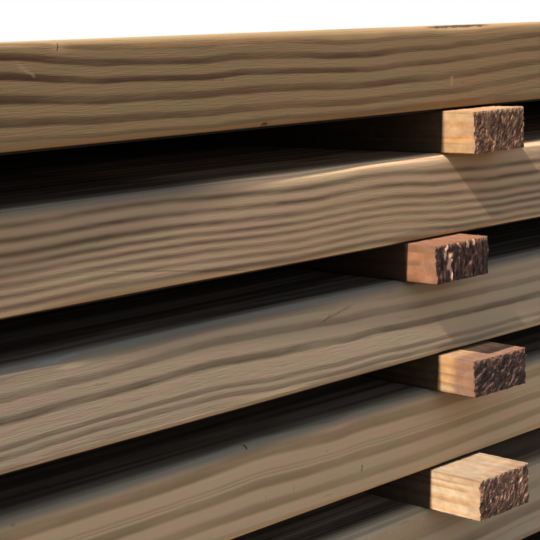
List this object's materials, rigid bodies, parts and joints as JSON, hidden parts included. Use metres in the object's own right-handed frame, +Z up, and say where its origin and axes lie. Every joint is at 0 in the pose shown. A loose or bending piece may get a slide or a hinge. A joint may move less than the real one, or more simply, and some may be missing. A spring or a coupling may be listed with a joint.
{
  "type": "stack of lumber",
  "caption": "Flat stack of treated softwood boards laid in layers on thin cross battens, with air gaps between the layers.",
  "frame": {"origin": "middle of the stack's underside, on the floor", "axes": "+X along the boards, +Y from the front side to the back side across the boards, +Z up"},
  "size_m": [2.4544, 0.773, 0.3211],
  "materials": {
    "treated_board": "planed pressure-treated softwood, matt, olive brown with darker growth rings",
    "spacer_batten": "rough-sawn untreated softwood, matt, with dark weathered ends"
  },
  "bodies": {
    "root": {"course_1_spacer_1": "spacer_batten", "course_1_spacer_2": "spacer_batten", "course_1_spacer_3": "spacer_batten", "course_1_spacer_4": "spacer_batten", "course_2_spacer_1": "spacer_batten", "course_2_spacer_2": "spacer_batten", "course_2_spacer_3": "spacer_batten", "course_2_spacer_4": "spacer_batten", "course_3_spacer_1": "spacer_batten", "course_3_spacer_2": "spacer_batten", "course_3_spacer_3": "spacer_batten", "course_3_spacer_4": "spacer_batten", "course_4_spacer_1": "spacer_batten", "course_4_spacer_2": "spacer_batten", "course_4_spacer_3": "spacer_batten", "course_4_spacer_4": "spacer_batten", "course_5_spacer_1": "spacer_batten", "course_5_spacer_2": "spacer_batten", "course_5_spacer_3": "spacer_batten", "course_5_spacer_4": "spacer_batten", "layer_1_board_1": "treated_board", "layer_1_board_2": "treated_board", "layer_1_board_3": "treated_board", "layer_1_board_4": "treated_board", "layer_1_board_5": "treated_board", "layer_2_board_1": "treated_board", "layer_2_board_2": "treated_board", "layer_2_board_3": "treated_board", "layer_2_board_4": "treated_board", "layer_2_board_5": "treated_board", "layer_3_board_1": "treated_board", "layer_3_board_2": "treated_board", "layer_3_board_3": "treated_board", "layer_3_board_4": "treated_board", "layer_3_board_5": "treated_board", "layer_4_board_1": "treated_board", "layer_4_board_2": "treated_board", "layer_4_board_3": "treated_board", "layer_4_board_4": "treated_board", "layer_4_board_5": "treated_board", "layer_5_board_1": "treated_board", "layer_5_board_2": "treated_board", "layer_5_board_3": "treated_board", "layer_5_board_4": "treated_board", "layer_5_board_5": "treated_board", "layer_6_board_1": "treated_board", "layer_6_board_2": "treated_board", "layer_6_board_3": "treated_board", "layer_6_board_4": "treated_board", "layer_6_board_5": "treated_board"}
  },
  "joints": []
}
